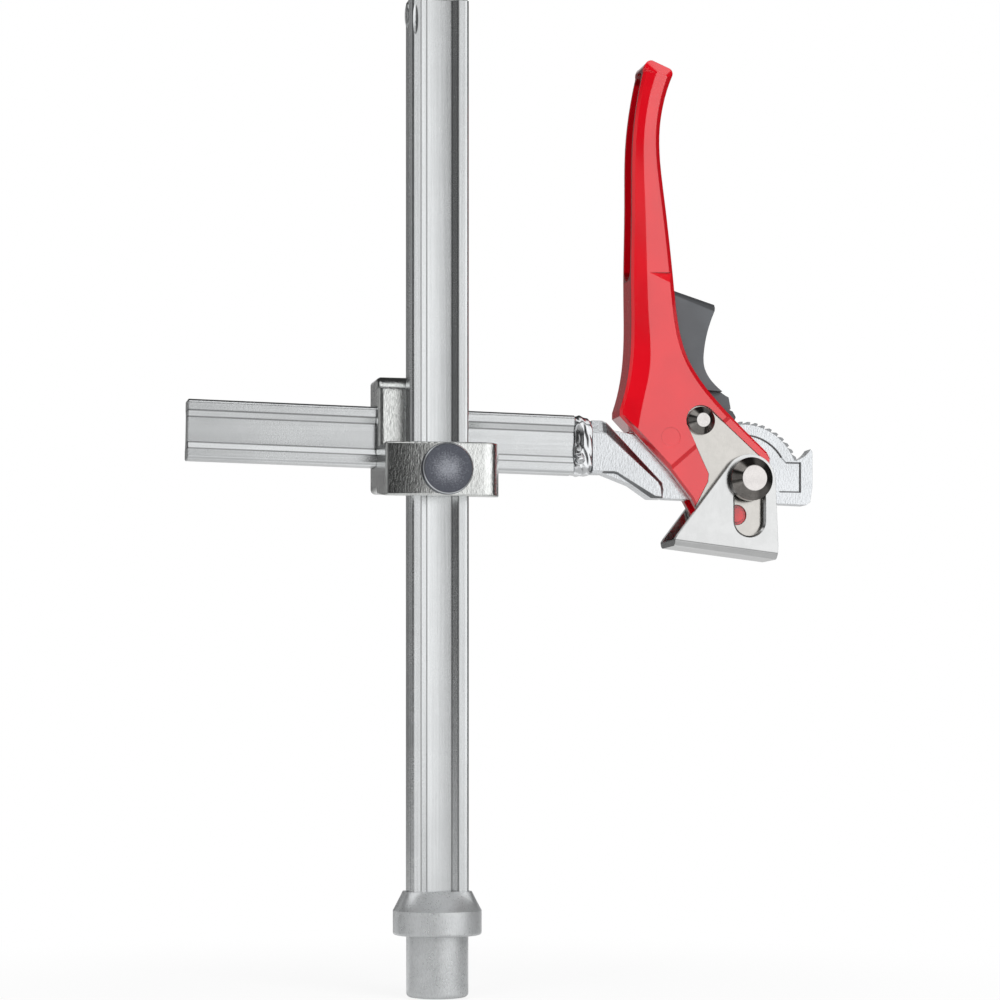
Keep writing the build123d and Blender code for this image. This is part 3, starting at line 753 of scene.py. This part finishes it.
def front_light(turn):
    """Strength of the soft front light: it grows from left to right and ends in a clean edge."""
    first, second = (level * turn.band(start, full) for level, start, full in FRONT_RISE)
    return (first + second) * (1.0 - turn.band(*FRONT_EDGE))


def back_light(turn):
    """Strength of the light behind the clamp, with a darker gap that its left flanks show."""
    return BACK_LEVEL * turn.abs().band(*BACK_EDGE) * (1.0 - GAP_SHARE * turn.within(*BACK_GAP))


def studio_sky(world):
    """White for the camera. For the clamp, soft lights in front, on the left, behind and above."""
    s = Shade(world)
    x, y, z = s.axes(s.wire("ShaderNodeTexCoord", "Generated"))
    turn = compass(x, y)
    left = LEFT_LEVEL * turn.within(*LEFT_WINDOW)
    side = SIDE_LEVEL * turn.within(*SIDE_WINDOW)
    around = front_light(turn) + left + side + back_light(turn)
    above = ABOVE_LEVEL * z.within(*ABOVE_WINDOW) * (1.0 - turn.abs().band(*ABOVE_EDGE))
    light = DARK_LEVEL + around * (1.0 - z.abs().band(*LEVEL_FADE)) + above
    seen = s.wire("ShaderNodeLightPath", "Is Camera Ray")
    strength = seen + (1.0 - seen) * light
    glow = s.wire("ShaderNodeBackground", "Background", {}, {"Color": (1, 1, 1, 1), "Strength": strength})
    s.node("ShaderNodeOutputWorld", {}, {"Surface": glow})


def lamp(name, place, target, width, power):
    """Square soft lamp aimed at a point, that no reflection shows."""
    light = bpy.data.lights.new(name, "AREA")
    light.size = width
    light.energy = power
    made = bpy.data.objects.new(name, light)
    made.visible_glossy = False
    bpy.context.scene.collection.objects.link(made)
    aim = (Vector(target) - Vector(place)).to_track_quat("-Z", "Y")
    made.matrix_world = Matrix.Translation(place) @ aim.to_matrix().to_4x4()


def floor_finish():
    """Near white for the camera, dim for matt light, and the studio's lights again for reflections."""
    made, s = material("pale floor")
    x, y, z = s.axes()
    radius = reach(x, y)
    turn = compass(x, y)
    far = radius.band(*FLOOR_FAR)
    close = 1.0 - radius.band(*FLOOR_CLOSE)
    sides = SIDES_LEAST + SIDES_RISE * turn.within(*FLOOR_WINDOW)
    near = CLOSE_LEVEL * close + sides * (1.0 - close)
    path = s.node("ShaderNodeLightPath")
    camera = Wire(s, path.outputs["Is Camera Ray"])
    glossy = Wire(s, path.outputs["Is Glossy Ray"])
    tone = s.blend(camera, (0.24, 0.24, 0.24, 1.0), (0.90, 0.90, 0.90, 1.0))
    matt = s.wire("ShaderNodeBsdfDiffuse", "BSDF", {}, {"Color": tone})
    glow = s.wire("ShaderNodeEmission", "Emission", {}, {"Color": (1, 1, 1, 1), "Strength": 1.0})
    white = camera * (CLOSE_WHITE + FAR_WHITE * radius.band(*FLOOR_FADE))
    mirror = glossy * (near * (1.0 - far) + front_light(turn) * far + back_light(turn))
    mixed = s.wire("ShaderNodeMixShader", "Shader", {}, {0: white + mirror, 1: matt, 2: glow})
    s.node("ShaderNodeOutputMaterial", {}, {"Surface": mixed})
    return made


def floor_sheet():
    mesh = bpy.data.meshes.new("floor")
    half = FLOOR_HALF
    corners = [(-half, -half, FLOOR_Z), (half, -half, FLOOR_Z), (half, half, FLOOR_Z), (-half, half, FLOOR_Z)]
    mesh.from_pydata(corners, [], [(0, 1, 2, 3)])
    mesh.materials.append(floor_finish())
    floor = bpy.data.objects.new("floor", mesh)
    bpy.context.scene.collection.objects.link(floor)


def photo_camera():
    data = bpy.data.cameras.new("photo camera")
    data.sensor_width = SENSOR_MM
    data.lens = FOCAL_PIXELS / FRAME_PIXELS * SENSOR_MM
    data.shift_y = (HORIZON_PIXELS - FRAME_PIXELS / 2) / FRAME_PIXELS
    data.clip_end = FAR_CLIP
    camera = bpy.data.objects.new("photo camera", data)
    bpy.context.scene.collection.objects.link(camera)
    turn = Matrix.Rotation(math.radians(-CAMERA_TURN), 4, "Z") @ Matrix.Rotation(math.radians(90), 4, "X")
    camera.matrix_world = Matrix.Translation(CAMERA_PLACE) @ turn
    bpy.context.scene.camera = camera


class CLAMP_OT_stage(bpy.types.Operator):
    """Set up the pale floor, the soft studio light and the camera"""

    bl_idname = "clamp.stage"
    bl_label = "Studio"

    def execute(self, context):
        scene = context.scene
        if scene.world is None:
            scene.world = bpy.data.worlds.new("studio")
        studio_sky(scene.world)
        floor_sheet()
        for settings in LAMPS:
            lamp(*settings)
        photo_camera()
        scene.view_settings.view_transform = "Standard"
        return {"FINISHED"}


# Add-on


STEPS = (CLAMP_OT_stage, CLAMP_OT_rails, CLAMP_OT_forgings, CLAMP_OT_weld, CLAMP_OT_steel, CLAMP_OT_lever)


class CLAMP_PT_panel(bpy.types.Panel):
    bl_idname = "CLAMP_PT_panel"
    bl_label = "Table Fixture Clamp"
    bl_space_type = "VIEW_3D"
    bl_region_type = "UI"
    bl_category = "Clamp"

    def draw(self, context):
        for group in (context.scene.clamp_post, context.scene.clamp_weld, context.scene.clamp_lever):
            for name in group.__annotations__:
                self.layout.prop(group, name)
        for step in STEPS:
            self.layout.operator(step.bl_idname)


CLASSES = (ClampPost, ClampLever, ClampWeld, *STEPS, CLAMP_PT_panel)


def register():
    for made in CLASSES:
        bpy.utils.register_class(made)
    bpy.types.Scene.clamp_post = bpy.props.PointerProperty(type=ClampPost)
    bpy.types.Scene.clamp_lever = bpy.props.PointerProperty(type=ClampLever)
    bpy.types.Scene.clamp_weld = bpy.props.PointerProperty(type=ClampWeld)


def unregister():
    del bpy.types.Scene.clamp_weld
    del bpy.types.Scene.clamp_lever
    del bpy.types.Scene.clamp_post
    for made in reversed(CLASSES):
        bpy.utils.unregister_class(made)


def main():
    register()
    bpy.ops.clamp.stage()
    bpy.ops.clamp.rails()
    bpy.ops.clamp.forgings()
    bpy.ops.clamp.weld()
    bpy.ops.clamp.steel()
    bpy.ops.clamp.lever()


if __name__ == "__main__":
    main()
